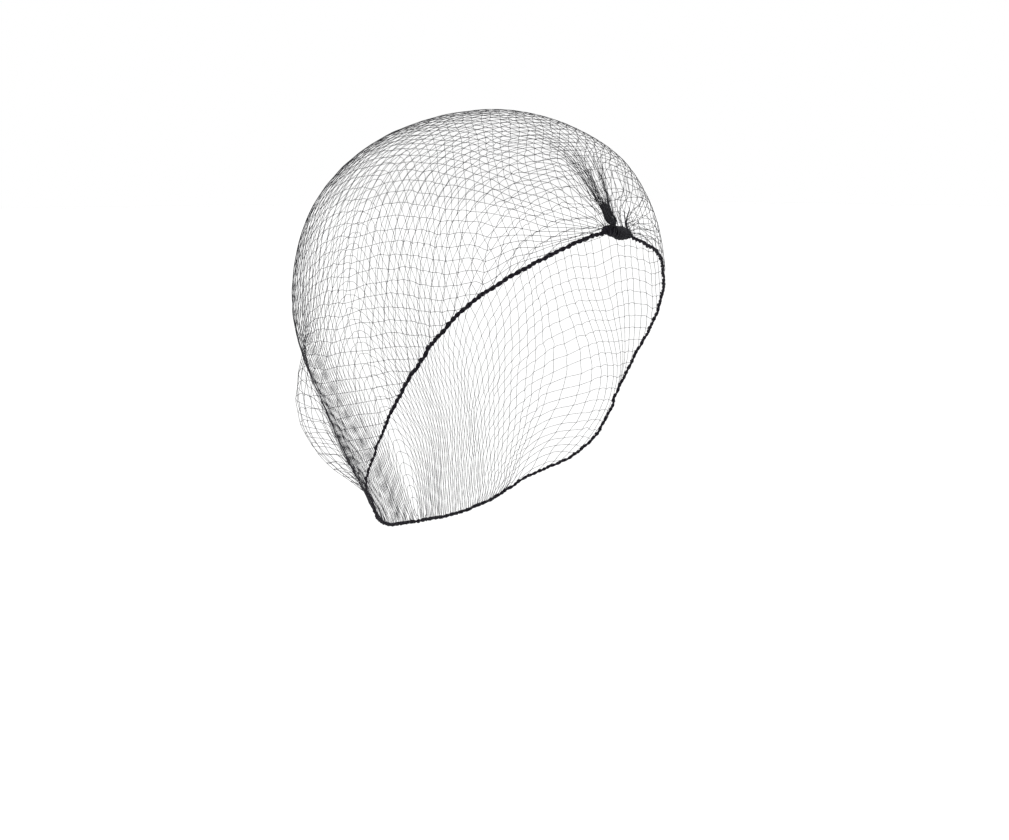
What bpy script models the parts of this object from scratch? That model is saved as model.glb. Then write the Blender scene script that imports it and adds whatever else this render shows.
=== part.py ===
"""Mesh cap: a knotted hair net in its worn form, gathered to a knot over the forehead.

Frame: metres, +Z up. The forehead faces -Y and the wearer's right is -X. The origin is the point
inside the top of the cap where the crown of a head bears on it, so the cap hangs below z = 0.

Pieces: net_crown, the hollow net bag as a thin wall with its gathered pleats; elastic_band, the
round cord in its whole rim; band_knot, the knot that ties the cord's two ends at the forehead.
"""
import math

import bmesh
import bpy
from mathutils import Vector

MM = 0.001

# Driving sizes of the crown
WALL = 1.2 * MM              # the net with its knots, as a wall
TOP_RADIUS = 92.4 * MM       # from the middle of the head to the top of the cap
COLUMNS = 88                 # facets around the crown
ROWS = 22                    # facets from the top down to the rim
FRONT_CROWDING = 0.72        # how much closer the columns stand at the forehead
RIM_CROWDING = 1.3           # how much closer the rows stand at the rim
SECTION_POWER = 2.15         # 2 is an ellipse, more is squarer
ROUND_TOP_DEG = 60.0         # above this polar angle the section eases back to an ellipse

# Driving sizes of the elastic cord and its knot
CORD_RADIUS = 1.05 * MM
CORD_STEP = 5.0 * MM
GAP = 0.5 * MM               # between the crown's edge and the cord
KNOT_GAP = 0.35 * MM
KNOT_STAND_OFF = 1.3 * MM    # the knot lies this far out from the cord's line
KNOT_SIDES = 14

MIDDLE = Vector((0.0, 0.0, WALL - TOP_RADIUS))

# The crown's outline, seen from the middle of the head. The polar angle is measured from
# straight up, and each radius is the outline's distance in that direction.
# Columns: polar_deg, front_mm, side_mm, back_mm
FORM = (
    (0.0, 92.4, 92.4, 92.4),
    (15.0, 94.4, 90.4, 92.0),
    (30.0, 97.5, 88.2, 94.0),
    (45.0, 100.5, 84.8, 96.8),
    (60.0, 97.7, 79.9, 100.2),
    (75.0, 93.3, 75.8, 101.7),
    (90.0, 90.3, 74.9, 99.3),
    (105.0, 88.6, 75.0, 93.7),
    (120.0, 90.5, 77.0, 89.0),
    (132.0, 93.0, 83.7, 88.8),
    (142.0, 95.2, 90.4, 93.8),
    (152.0, 98.3, 100.0, 106.5),
    (160.0, 103.0, 110.8, 123.0),
)

# The rim: polar angle of the cord's line at each azimuth from the forehead round to the nape.
# Columns: azimuth_deg, polar_deg
RIM = (
    (0.0, 65.6),
    (8.0, 66.6),
    (15.0, 68.7),
    (25.0, 72.6),
    (35.0, 77.3),
    (45.0, 84.2),
    (55.0, 94.7),
    (65.0, 107.2),
    (74.0, 119.4),
    (84.0, 131.2),
    (93.0, 138.4),
    (101.0, 143.2),
    (112.0, 147.8),
    (124.0, 151.6),
    (145.0, 154.6),
    (180.0, 156.0),
)

# The swelling where the net goes over each ear
EAR = {
    "polar_deg": 116.0,
    "azimuth_deg": 97.5,
    "height": 26.0 * MM,
    "above_deg": 15.5,
    "below_deg": 16.2,
    "fore_deg": 13.0,
    "aft_deg": 10.5,
}

# The gather: the net drawn together above the knot, and the pleats that fan out from there.
# A bearing is measured at the gather from straight back over the head, towards the wearer's right.
GATHER = {
    "azimuth_deg": 2.2,
    "polar_deg": 62.6,
    "height": 2.4 * MM,
    "width": 3.4 * MM,
    "length": 11.0 * MM,
}

# Columns: bearing_deg, bend_deg_per_mm, height_mm, half_width_deg, length_mm
PLEATS = (
    (62.0, -0.30, 0.6, 6.0, 34.0),
    (34.0, -0.36, 1.7, 6.5, 66.0),
    (17.0, -0.28, 1.2, 5.0, 58.0),
    (-2.0, -0.14, 1.5, 5.0, 60.0),
    (-24.0, -0.06, 1.1, 6.0, 50.0),
    (-46.0, 0.05, 0.9, 6.5, 40.0),
    (-68.0, 0.10, 0.7, 7.0, 30.0),
)

# The tied knot: its radius at stations along the rim, from the wearer's right to the left.
# Columns: along_mm, radius_mm
KNOT = (
    (-7.6, 1.15),
    (-6.6, 2.0),
    (-4.8, 2.7),
    (-2.6, 2.5),
    (-0.8, 2.35),
    (1.2, 2.8),
    (3.8, 3.1),
    (6.2, 2.6),
    (7.9, 1.9),
    (8.8, 1.15),
)
KNOT_WIDEST = max(radius for along, radius in KNOT) * MM
KNOT_REACH = 9.0 * MM        # the crown's edge keeps clear of the knot this far from the middle

# How finely the rim is followed
SIDE_STEP_DEG = 0.5
ROUND_STEPS = 1440
FOREHEAD_DEG = 30.0          # the knot lies within this azimuth of the forehead
HALVINGS = 40


def clear_scene():
    """Start from an empty scene."""
    for thing in list(bpy.data.objects):
        bpy.data.objects.remove(thing, do_unlink=True)


def smooth_column(table, column, at):
    """A table column read at any place, along a smooth curve through its rows."""
    xs = [row[0] for row in table]
    ys = [row[column] for row in table]
    last = len(xs) - 1
    at = min(max(at, xs[0]), xs[last])
    k = 0
    while k < last - 1 and at > xs[k + 1]:
        k += 1

    def slope(i):
        if i == 0 or i == last:
            return 0.0 if i == 0 else (ys[last] - ys[last - 1]) / (xs[last] - xs[last - 1])
        before = (ys[i] - ys[i - 1]) / (xs[i] - xs[i - 1])
        after = (ys[i + 1] - ys[i]) / (xs[i + 1] - xs[i])
        near, far = xs[i] - xs[i - 1], xs[i + 1] - xs[i]
        return (before * far + after * near) / (near + far)

    span = xs[k + 1] - xs[k]
    t = (at - xs[k]) / span
    return (
        (1 + 2 * t) * (1 - t) ** 2 * ys[k]
        + t * (1 - t) ** 2 * span * slope(k)
        + t * t * (3 - 2 * t) * ys[k + 1]
        + t * t * (t - 1) * span * slope(k + 1)
    )


def fold_angle(degrees):
    """An azimuth folded onto one side of the head, 0 at the forehead and 180 at the nape."""
    return abs((degrees + 180.0) % 360.0 - 180.0)


def direction(azimuth, polar):
    """The unit direction from the middle of the head; azimuth turns from the forehead to the right."""
    a, p = math.radians(azimuth), math.radians(polar)
    return Vector((-math.sin(p) * math.sin(a), -math.sin(p) * math.cos(a), math.cos(p)))


def ear_swelling(azimuth, polar):
    """How far the ear holds the net out."""
    across = fold_angle(azimuth) - EAR["azimuth_deg"]
    down = polar - EAR["polar_deg"]
    across /= EAR["fore_deg"] if across < 0 else EAR["aft_deg"]
    down /= EAR["above_deg"] if down < 0 else EAR["below_deg"]
    return EAR["height"] * math.exp(-0.5 * (across**2 + down**2))


def head_radius(azimuth, polar):
    """The crown's outline without its pleats, as a distance from the middle of the head."""
    front, side, back = (smooth_column(FORM, column, polar) * MM for column in (1, 2, 3))
    forward = math.cos(math.radians(azimuth))
    sideways = math.sin(math.radians(azimuth))
    lengthwise = front if forward > 0 else back
    squareness = min(1.0, polar / ROUND_TOP_DEG) ** 2
    power = 2.0 + (SECTION_POWER - 2.0) * squareness
    level = (abs(forward / lengthwise) ** power + abs(sideways / side) ** power) ** (-1 / power)
    return level + ear_swelling(azimuth, polar)


def pleat_height(azimuth, polar):
    """How far the gathered neck and the pleats stand out from the crown."""
    gather = direction(GATHER["azimuth_deg"], GATHER["polar_deg"])
    here = direction(azimuth, polar)
    up = (Vector((0.0, 0.0, 1.0)) - gather * gather.z).normalized()
    right = gather.cross(up)
    distance = gather.angle(here, 0.0) * TOP_RADIUS
    bearing = math.degrees(math.atan2(here.dot(right), here.dot(up)))
    sideways = distance * math.sin(math.radians(bearing))
    upward = distance * math.cos(math.radians(bearing))
    neck = math.exp(-((sideways / GATHER["width"]) ** 2) - (upward / GATHER["length"]) ** 2)
    height = GATHER["height"] * neck
    start = GATHER["width"]
    for pleat_bearing, bend, tall, half_width, length in PLEATS:
        if start < distance < length * MM:
            fade = 1.0 - (distance - start) / (length * MM - start)
            turned = (bearing - pleat_bearing - bend * distance / MM) / half_width
            rise = min(1.0, (distance - start) / start)
            height += tall * MM * rise * fade**1.5 * math.exp(-(turned**2))
    return height


def rim_polar(azimuth):
    """The polar angle of the cord's line."""
    return smooth_column(RIM, 1, fold_angle(azimuth))


def rim_point(azimuth):
    """A point on the cord's line, in the middle of the wall's thickness."""
    polar = rim_polar(azimuth)
    return MIDDLE + direction(azimuth, polar) * (head_radius(azimuth, polar) - WALL / 2)


def rim_run(azimuth):
    """The unit direction in which the cord's line runs, towards greater azimuths."""
    return (rim_point(azimuth + SIDE_STEP_DEG) - rim_point(azimuth - SIDE_STEP_DEG)).normalized()


def edge_polar(azimuth):
    """The polar angle of the crown's lower edge, clear of the cord and of the knot."""
    polar = rim_polar(azimuth)
    run = rim_run(azimuth)
    below = direction(azimuth, polar + SIDE_STEP_DEG)
    above = direction(azimuth, polar - SIDE_STEP_DEG)
    slant = (below - above).normalized().cross(run).length
    off_middle = rim_point(azimuth).x / KNOT_REACH
    near_knot = math.exp(-(off_middle**4)) if fold_angle(azimuth) < 90 else 0.0
    clearance = CORD_RADIUS + GAP + (KNOT_WIDEST - CORD_RADIUS + KNOT_GAP) * near_knot
    return polar - math.degrees(clearance / (slant * head_radius(azimuth, polar)))


def column_azimuth(column):
    """Azimuths around the crown, crowded towards the forehead where the pleats are."""
    turn = 2 * math.pi * column / COLUMNS
    return math.degrees(turn - FRONT_CROWDING * math.sin(turn))


def net_crown():
    """The net bag: an outer skin with pleats, an inner skin, and the edge strip between them."""
    mesh = bmesh.new()
    outer_top = mesh.verts.new(MIDDLE + Vector((0.0, 0.0, TOP_RADIUS)))
    inner_top = mesh.verts.new(MIDDLE + Vector((0.0, 0.0, TOP_RADIUS - WALL)))
    outer, inner = [], []
    for row in range(1, ROWS + 1):
        share = 1.0 - (1.0 - row / ROWS) ** RIM_CROWDING
        outer.append([])
        inner.append([])
        for column in range(COLUMNS):
            azimuth = column_azimuth(column)
            polar = edge_polar(azimuth) * share
            way = direction(azimuth, polar)
            skin = head_radius(azimuth, polar)
            outer[-1].append(mesh.verts.new(MIDDLE + way * (skin + pleat_height(azimuth, polar))))
            inner[-1].append(mesh.verts.new(MIDDLE + way * (skin - WALL)))
    for column in range(COLUMNS):
        after = (column + 1) % COLUMNS
        mesh.faces.new((outer_top, outer[0][column], outer[0][after]))
        mesh.faces.new((inner_top, inner[0][after], inner[0][column]))
        for upper, lower in zip(outer, outer[1:]):
            mesh.faces.new((upper[column], lower[column], lower[after], upper[after]))
        for upper, lower in zip(inner, inner[1:]):
            mesh.faces.new((upper[after], lower[after], lower[column], upper[column]))
        mesh.faces.new((outer[-1][column], inner[-1][column], inner[-1][after], outer[-1][after]))
    return finish_mesh("net_crown", mesh, black_net())


def elastic_band():
    """The cord in the rim, one tube from one side of the knot round the nape to the other side."""
    first, last = knot_end(0), knot_end(len(KNOT) - 1)
    start = azimuth_at(first.x - KNOT_GAP)
    stop = 360.0 + azimuth_at(last.x + KNOT_GAP)
    turn = (stop - start) / ROUND_STEPS
    fine = [rim_point(start + turn * k) for k in range(ROUND_STEPS + 1)]
    lengths = [0.0]
    for a, b in zip(fine, fine[1:]):
        lengths.append(lengths[-1] + (b - a).length)
    count = round(lengths[-1] / CORD_STEP)
    route, k = [], 0
    for n in range(count + 1):
        target = lengths[-1] * n / count
        while k < len(fine) - 2 and lengths[k + 1] < target:
            k += 1
        along = (target - lengths[k]) / (lengths[k + 1] - lengths[k])
        route.append(fine[k].lerp(fine[k + 1], along))
    curve = bpy.data.curves.new("elastic_band", "CURVE")
    curve.dimensions = "3D"
    curve.bevel_depth = CORD_RADIUS
    curve.bevel_resolution = 2
    curve.use_fill_caps = True
    curve.render_resolution_u = 0
    line = curve.splines.new("POLY")
    line.points.add(len(route) - 1)
    for point, place in zip(line.points, route):
        point.co = (*place, 1.0)
    band = bpy.data.objects.new("elastic_band", curve)
    band.data.materials.append(black_elastic())
    bpy.context.collection.objects.link(band)
    return band


def azimuth_at(x):
    """The azimuth at which the cord's line crosses the given x, near the forehead."""
    low, high = -FOREHEAD_DEG, FOREHEAD_DEG
    for _ in range(HALVINGS):
        middle = (low + high) / 2
        if rim_point(middle).x > x:
            low = middle
        else:
            high = middle
    return (low + high) / 2


def knot_end(station):
    """A station of the knot on the cord's line."""
    return rim_point(azimuth_at(KNOT[station][0] * MM))


def band_knot():
    """The tied knot: a lumpy body turned about the cord's line at the forehead."""
    mesh = bmesh.new()
    rings = []
    for along, radius in KNOT:
        azimuth = azimuth_at(along * MM)
        axis = -rim_run(azimuth)
        out = direction(azimuth, rim_polar(azimuth))
        out = (out - axis * out.dot(axis)).normalized()
        side = axis.cross(out)
        swelling = (radius * MM - CORD_RADIUS) / (KNOT_WIDEST - CORD_RADIUS)
        centre = rim_point(azimuth) + out * KNOT_STAND_OFF * swelling
        ring = []
        for k in range(KNOT_SIDES):
            turn = 2 * math.pi * k / KNOT_SIDES
            spoke = out * math.cos(turn) + side * math.sin(turn)
            ring.append(mesh.verts.new(centre + spoke * radius * MM))
        rings.append(ring)
    for before, after in zip(rings, rings[1:]):
        for k in range(KNOT_SIDES):
            n = (k + 1) % KNOT_SIDES
            mesh.faces.new((before[k], before[n], after[n], after[k]))
    mesh.faces.new(rings[0][::-1])
    mesh.faces.new(rings[-1])
    return finish_mesh("band_knot", mesh, black_elastic())


def finish_mesh(name, mesh, material):
    """Turn a bmesh into a smooth-shaded object of the given name."""
    bmesh.ops.recalc_face_normals(mesh, faces=mesh.faces)
    data = bpy.data.meshes.new(name)
    mesh.to_mesh(data)
    mesh.free()
    data.shade_smooth()
    data.set_sharp_from_angle(angle=math.radians(50))
    thing = bpy.data.objects.new(name, data)
    thing.data.materials.append(material)
    bpy.context.collection.objects.link(thing)
    return thing


def plain_material(name, colour, roughness):
    """A Principled material made once and shared."""
    if name in bpy.data.materials:
        return bpy.data.materials[name]
    material = bpy.data.materials.new(name)
    material.use_nodes = True
    shader = material.node_tree.nodes["Principled BSDF"]
    shader.inputs["Base Color"].default_value = (*colour, 1.0)
    shader.inputs["Roughness"].default_value = roughness
    shader.inputs["Metallic"].default_value = 0.0
    return material


def black_net():
    """Black nylon thread."""
    return plain_material("black_net", (0.030, 0.030, 0.034), 0.55)


def black_elastic():
    """The cord's near-black braided cover, slightly violet."""
    return plain_material("black_elastic", (0.012, 0.009, 0.020), 0.75)


def build():
    clear_scene()
    net_crown()
    elastic_band()
    band_knot()


build()
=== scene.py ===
"""Mesh cap: a knotted black hair net in its worn form, on its elastic cord with the tied knot.

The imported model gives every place: its crown is the skin that the net lies on, its band is the line
of the cord, and its knot is where the cord is tied. The net is a lattice of lengthwise threads,
which run from the gather back over the head, and crosswise threads, which run from side to side.
"""
import math

import bpy
import numpy as np
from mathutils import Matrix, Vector
from mathutils.bvhtree import BVHTree


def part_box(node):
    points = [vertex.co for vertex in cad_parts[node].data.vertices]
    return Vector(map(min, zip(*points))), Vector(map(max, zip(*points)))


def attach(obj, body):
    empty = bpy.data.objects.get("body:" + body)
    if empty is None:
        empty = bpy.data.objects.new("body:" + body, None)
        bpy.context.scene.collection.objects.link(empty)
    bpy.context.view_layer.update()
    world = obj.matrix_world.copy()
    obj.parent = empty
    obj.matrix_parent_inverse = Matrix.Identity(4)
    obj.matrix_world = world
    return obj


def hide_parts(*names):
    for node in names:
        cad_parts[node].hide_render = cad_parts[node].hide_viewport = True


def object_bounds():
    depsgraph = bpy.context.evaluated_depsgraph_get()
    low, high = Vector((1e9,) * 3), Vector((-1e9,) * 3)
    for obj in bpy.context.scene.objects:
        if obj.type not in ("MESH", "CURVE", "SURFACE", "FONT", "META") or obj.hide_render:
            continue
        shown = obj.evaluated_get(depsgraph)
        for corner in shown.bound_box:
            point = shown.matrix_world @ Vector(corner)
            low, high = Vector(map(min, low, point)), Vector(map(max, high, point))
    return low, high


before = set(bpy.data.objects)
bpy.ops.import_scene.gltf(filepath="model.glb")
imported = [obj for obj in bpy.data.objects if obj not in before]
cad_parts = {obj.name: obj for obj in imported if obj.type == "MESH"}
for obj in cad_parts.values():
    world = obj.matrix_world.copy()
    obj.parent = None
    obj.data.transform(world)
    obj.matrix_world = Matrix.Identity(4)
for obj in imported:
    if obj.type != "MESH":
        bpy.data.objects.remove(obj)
cad_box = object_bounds()

MM = 0.001
TURN = 6.28  # radians, about a whole turn
rng = np.random.default_rng(20)

# The net's lattice
THREADS = 46  # lengthwise threads on each side of the middle one, at the most
MESH_ALONG = 6.1 * MM  # between crosswise threads, along a lengthwise one
SLACK_ALONG = 6.2 * MM  # thread in one side of a mesh, lengthwise
SLACK_ACROSS = 5.95 * MM  # thread in one side of a mesh, crosswise
THREAD_RADIUS = 0.1 * MM
ROW_CLOSING = 0.0065  # forward of the crown a row's place is less by this share, times its number

# How far apart the lengthwise threads lie, along a crosswise one, at places along the head.
# Columns: y_mm, spacing_mm
SPACING = (
    (-88, 0.95), (-85, 1.9), (-81, 3.0), (-78, 3.47), (-66, 4.65), (-60, 4.85),
    (-52, 5.2), (-45, 5.37), (-28, 5.56), (0, 5.87), (60, 5.8), (110, 5.8),
)

# Where each crosswise thread behind the crown meets the rim: share of the way round from the ear
# to the nape, against the thread's share of the way from the crown to the nape.
# Columns: share_of_back, share_of_rim
BACK_SLANT = ((0.0, 0.0), (0.15, 0.43), (0.4, 0.60), (0.7, 0.78), (1.0, 1.0))
DRAPE_FROM = (0.22, 0.5)  # share of the back over which the crosswise threads start to hang in arcs

# The gather: bearings of the lengthwise threads about the knot, from straight back over the head
# and towards the wearer's right, at three distances from it. Past GATHER_FAR they keep their own.
# Columns: thread, bearing_at_45_mm, bearing_at_25_mm, bearing_at_12_mm
GATHER_NEAR = (12.0 * MM, 25.0 * MM, 45.0 * MM)
GATHER_FAR = 62.0 * MM
FAN = (
    (-20, -73, -83, -92), (-17, -62, -70, -77), (-15, -54, -61, -69), (-13, -47, -54, -62),
    (-11, -40, -44, -50), (-9, -31, -31, -32), (-7, -24, -20, -16), (-5, -16, -10, -2),
    (-3, -9, -4, 2), (-1, -3, 1, 7), (1, 4, 8, 16), (3, 10, 12, 19), (5, 15, 15, 22),
    (7, 20, 19, 26), (9, 27, 24, 30), (11, 35, 30, 35), (13, 45, 40, 42), (15, 53, 55, 58),
    (17, 62, 69, 75), (20, 73, 83, 92),
)
TIED_THREADS = 20  # on each side of the middle one, these run to the knot
NECK = (-5, 12)  # the threads that run together in the neck above the knot
NECK_DRAWN = 0.45  # share of its width 12 mm off that the neck keeps at the knot
NECK_WIDEST = 0.8  # how far one may be off the neck's middle, as a share of its distance
# The neck's middle, as bearings at distances from the gather.
# Columns: distance_mm, bearing
NECK_TRACK = ((2.4, 80), (5.0, 50), (8.0, 33), (10.0, 26), (15.0, 19))

# The folds that stand up from the knot.
# Columns: thread, width_threads, share of the lift
FOLD_RISES = ((8, 4.0, 1.0), (-2, 3.3, 0.6))
FOLD_LIFT = 1.3 * MM

# Over the crown the net is wider than the head, so its threads lie closer there and its meshes
# lean into diamonds: the middle of the net sits forward of its sides, towards the gather.
CROWDING = 0.38  # of the spacing, at the front
CROWD_LEAST = 0.85  # share of it at the back
CROWD_ROWS = (-34, 8)  # from the least crowding to the most
CROWD_EDGE = (46.0 * MM, 66.0 * MM)  # where it ends, along a crosswise thread from its middle
LEAN = 0.82  # share of the lean that meshes with rigid sides would take

# How the cord rides off the plain line of the band, as the knot and the net pull on it.
# Columns: degrees round the head from the front, mm up the head
CORD_SET = (
    (-180, 0.0), (-46, 0.0), (-36, 1.2), (-30, 1.8), (-25, 1.4), (-19, -0.1), (-14, -1.4), (-8, -1.2),
    (-3, -0.4), (3, 0.1), (9, 0.4), (19, 0.6), (26, 0.5), (34, 0.2), (43, 0.3), (50, 0.25),
    (55, 0.0), (61, -0.8), (67, -0.4), (74, -0.35), (80, -0.9), (90, 0.0), (180, 0.0),
)
# How thick the cord is round the head: it thins where it is stretched.
# Columns: degrees round the head from the front, share of its full thickness
CORD_WIDTH = (
    (-180, 0.82), (-60, 0.82), (-30, 0.80), (-16, 0.93), (-6, 0.95), (4, 1.0), (60, 1.0),
    (70, 0.92), (80, 0.62), (100, 0.66), (130, 0.8), (180, 0.82),
)


def smooth(low, high, at):
    """0 at low and before it, 1 at high and past it, and an even ease between them."""
    t = np.clip((at - low) / (high - low), 0, 1)
    return t * t * (3 - 2 * t)


def in_table(table, at, column=1):
    """A table's column, read at values of its first column."""
    return np.interp(at, *np.array(table).T[[0, column]])


def unit(vectors):
    """Vectors brought to length 1."""
    return vectors / np.maximum(np.linalg.norm(vectors, axis=-1, keepdims=True), 1e-12)


def squared(vectors, way):
    """Unit vectors at right angles to the way, as near to the given ones as can be."""
    return unit(vectors - (vectors * way).sum(-1, keepdims=True) * way)


def turned(angle, first, second):
    """Vectors turned by an angle from the first ones towards the second ones."""
    return np.cos(angle)[..., None] * first + np.sin(angle)[..., None] * second


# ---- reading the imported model


def node_shape(name):
    """A CAD node's points in the shared frame, its edges and its triangles or other faces."""
    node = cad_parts[name]
    mesh, place = node.data, np.array(node.matrix_world)
    points = np.array([vertex.co for vertex in mesh.vertices]) @ place[:3, :3].T + place[:3, 3]
    edges = np.array([tuple(edge.vertices) for edge in mesh.edges])
    return points, edges, [tuple(face.vertices) for face in mesh.polygons]


crown_points, _, crown_faces = node_shape("net_crown")
crown_low, crown_high = (np.array(corner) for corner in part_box("net_crown"))
MIDDLE = np.array([0.0, 0.0, (crown_low[2] + crown_high[2]) / 2])


def polar_of(points):
    """Polar angle and azimuth, in degrees, and distance of points from the middle of the head."""
    away = points - MIDDLE
    distance = np.linalg.norm(away, axis=-1)
    polar = np.degrees(np.arccos(np.clip(away[..., 2] / np.maximum(distance, 1e-9), -1, 1)))
    azimuth = np.degrees(np.arctan2(-away[..., 0], -away[..., 1]))
    return polar, azimuth, distance


def direction(azimuth, polar):
    """Unit directions from the middle of the head, for angles in degrees."""
    a, p = np.radians(azimuth), np.radians(polar)
    return np.stack([-np.sin(p) * np.sin(a), -np.sin(p) * np.cos(a), np.cos(p)], axis=-1)


POLAR_END = 164  # degrees from the top, past the cord all round
CAST_FROM = 0.2  # m from the middle, outside the cap
CAST_LENGTH = 0.17
HEAD_RADIUS = 0.1  # m, roughly
skin_tree = BVHTree.FromPolygons(crown_points.tolist(), crown_faces)
skin_grid = np.zeros((POLAR_END + 1, 361))  # a value for each degree down from the top and round
for azimuth in range(-180, 181):
    radius = HEAD_RADIUS
    for polar in range(POLAR_END + 1):
        way = direction(azimuth, polar)
        hit = skin_tree.ray_cast(Vector(MIDDLE + way * CAST_FROM), Vector(-way), CAST_LENGTH)
        if hit[0] is not None:
            radius = float(np.linalg.norm(np.array(hit[0]) - MIDDLE))
        skin_grid[polar, azimuth + 180] = radius


def skin_radius(polar, azimuth):
    """The crown's outer radius in a direction, held on past its edge."""
    row = np.clip(polar, 0, POLAR_END - 1e-6)
    column = np.clip(azimuth + 180, 0, 360 - 1e-6)
    i, j = row.astype(int), column.astype(int)
    u, v = row - i, column - j
    upper = skin_grid[i, j] * (1 - v) + skin_grid[i, j + 1] * v
    lower = skin_grid[i + 1, j] * (1 - v) + skin_grid[i + 1, j + 1] * v
    return upper * (1 - u) + lower * u


def onto_skin(points, lift=0.0):
    """Points moved in or out onto the crown's outer skin, or lift above it."""
    polar, azimuth, distance = polar_of(points)
    scale = (skin_radius(polar, azimuth) + lift) / np.maximum(distance, 1e-9)
    return MIDDLE + (points - MIDDLE) * np.expand_dims(scale, -1)


def skin_towards(way, lift=0.0):
    """The skin's points in unit directions from the middle of the head."""
    return onto_skin(MIDDLE + way * HEAD_RADIUS, lift)


def skin_normal(points):
    """Outward unit normals of the skin near the given points."""
    away = unit(points - MIDDLE)
    helper = np.where(np.abs(away[..., 2:3]) < 0.9, [0.0, 0.0, 1.0], [1.0, 0.0, 0.0])
    side = unit(np.cross(away, helper))
    upward = np.cross(side, away)
    reach = 3 * MM
    across = onto_skin(points + side * reach) - onto_skin(points - side * reach)
    along = onto_skin(points + upward * reach) - onto_skin(points - upward * reach)
    normal = unit(np.cross(across, along))
    return normal * np.sign((normal * away).sum(-1, keepdims=True))


def ring_centre(points, edges, azimuth):
    """Where a tube round the head crosses the upright half plane at an azimuth, or None."""
    off = (polar_of(points)[1] - azimuth + 180) % 360 - 180
    a, b = off[edges[:, 0]], off[edges[:, 1]]
    near_it = np.abs(a) + np.abs(b) < 60  # degrees, and so not on the far side of the head
    crossing = (a * b <= 0) & (np.abs(a - b) > 1e-9) & near_it
    if not crossing.any():
        return None
    share = (a / (a - b))[crossing][:, None]
    first, second = points[edges[crossing, 0]], points[edges[crossing, 1]]
    return (first * (1 - share) + second * share).mean(0)


def at_length(line, lengths, target):
    """Points at given lengths along a line."""
    return np.stack([np.interp(target, lengths, line[:, axis]) for axis in range(3)], axis=-1)


def round_head(azimuths, table, azimuth):
    """Numbers or points in a table that closes round the head, at azimuths in degrees."""
    at = (np.asarray(azimuth) + 180.0) % 360.0
    ticks, closed = np.append(azimuths + 180, 360), np.concatenate([table, table[:1]])
    return np.interp(at, ticks, closed) if table.ndim == 1 else at_length(closed, ticks, at)


def leaves_at(inside, far, rounds):
    """How far things go before they are outside, by halving: far is outside, and 0 isn't."""
    near = np.zeros(len(far))
    for _ in range(rounds):
        half = (near + far) / 2
        kept = inside(half)
        near, far = np.where(kept, half, near), np.where(kept, far, half)
    return far


def run_along(line):
    """Each point's distance from the first one, along a line of points."""
    return np.concatenate([[0], np.cumsum(np.linalg.norm(np.diff(line, axis=0), axis=1))])


def evened(line, rounds):
    """A line with each point between its ends drawn towards its two neighbours."""
    for _ in range(rounds):
        inner = (line[:-2] + 2 * line[1:-1] + line[2:]) / 4
        line = np.concatenate([line[:1], inner, line[-1:]])
    return line


band_points, band_edges, _ = node_shape("elastic_band")
knot_points, knot_edges, _ = node_shape("band_knot")
knot_low, knot_high = (np.array(corner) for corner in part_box("band_knot"))

rim_azimuths = np.arange(-180.0, 180.0, 1.0)
rim_places = []
for azimuth in rim_azimuths:
    place = ring_centre(band_points, band_edges, azimuth)
    if place is None:
        place = ring_centre(knot_points, knot_edges, azimuth)
    rim_places.append(place)
rim_places = np.array(rim_places)
for _ in range(6):  # evens out the rim's line
    rim_places = (np.roll(rim_places, 1, 0) + 2 * rim_places + np.roll(rim_places, -1, 0)) / 4
rim_polar_table, _, rim_radii = polar_of(rim_places)
rim_polar_table -= np.degrees(in_table(CORD_SET, rim_azimuths) * MM / rim_radii)
rim_places = MIDDLE + direction(rim_azimuths, rim_polar_table) * rim_radii[:, None]


def beyond_rim(points):
    """How many degrees points lie below the cord's line; negative is on the net."""
    polar, azimuth, _ = polar_of(points)
    return polar - round_head(rim_azimuths, rim_polar_table, azimuth)


# ---- the lattice


def outline(azimuth):
    """The skin's middle line from the top down to the cord, at azimuth 0 or 180, and its lengths."""
    polar = np.linspace(0, float(round_head(rim_azimuths, rim_polar_table, azimuth)), 800)
    azimuths = np.full_like(polar, azimuth)
    line = MIDDLE + direction(azimuths, polar) * skin_radius(polar, azimuths)[:, None]
    return line, run_along(line)


front_line, front_lengths = outline(0.0)
back_line, back_lengths = outline(180.0)
front_rows_even = front_lengths[-1] / MESH_ALONG
front_count = int((1 - math.sqrt(1 - 4 * ROW_CLOSING * front_rows_even)) / (2 * ROW_CLOSING))
back_count = int(back_lengths[-1] / MESH_ALONG)
rows = np.arange(-back_count, front_count + 1)

# The right half of the rim, and its part from below the ear round to the nape
right_rim = round_head(rim_azimuths, rim_places, np.linspace(1.0, 180.0, 900))
behind = round_head(rim_azimuths, rim_places, np.linspace(60.0, 180.0, 600))
behind = behind[behind[:, 1] > 0]
behind_lengths = run_along(behind)


def rim_foot(share):
    """Where a crosswise thread behind the crown meets the rim, by its share of the back."""
    return at_length(behind, behind_lengths, in_table(BACK_SLANT, share) * behind_lengths[-1])


def row_plane(row):
    """A crosswise thread's plane: its place on the middle line and its place on the rim, side view."""
    if row >= 0:
        place = at_length(front_line, front_lengths, row * (1 - ROW_CLOSING * row) * MESH_ALONG)
        foot = np.array([0.0, place[1], np.interp(place[1], right_rim[:, 1], right_rim[:, 2])])
    else:
        share = -row * MESH_ALONG / back_lengths[-1]
        place = at_length(back_line, back_lengths, -row * MESH_ALONG)
        foot = rim_foot(share)
        foot[0] = 0.0
    return place, foot


SWEEP = np.radians(np.linspace(0.0, 176.0, 300))
ARC_PAST = 1.12  # the arcs run on a little past the rim
PAST_RIM = 4.0  # degrees below the cord, where a curve may stop
CENTRE_DEPTH = 0.095  # m, how deep the rays to a crosswise thread start
OUTSIDE = 0.25  # m, well outside the cap


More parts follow.
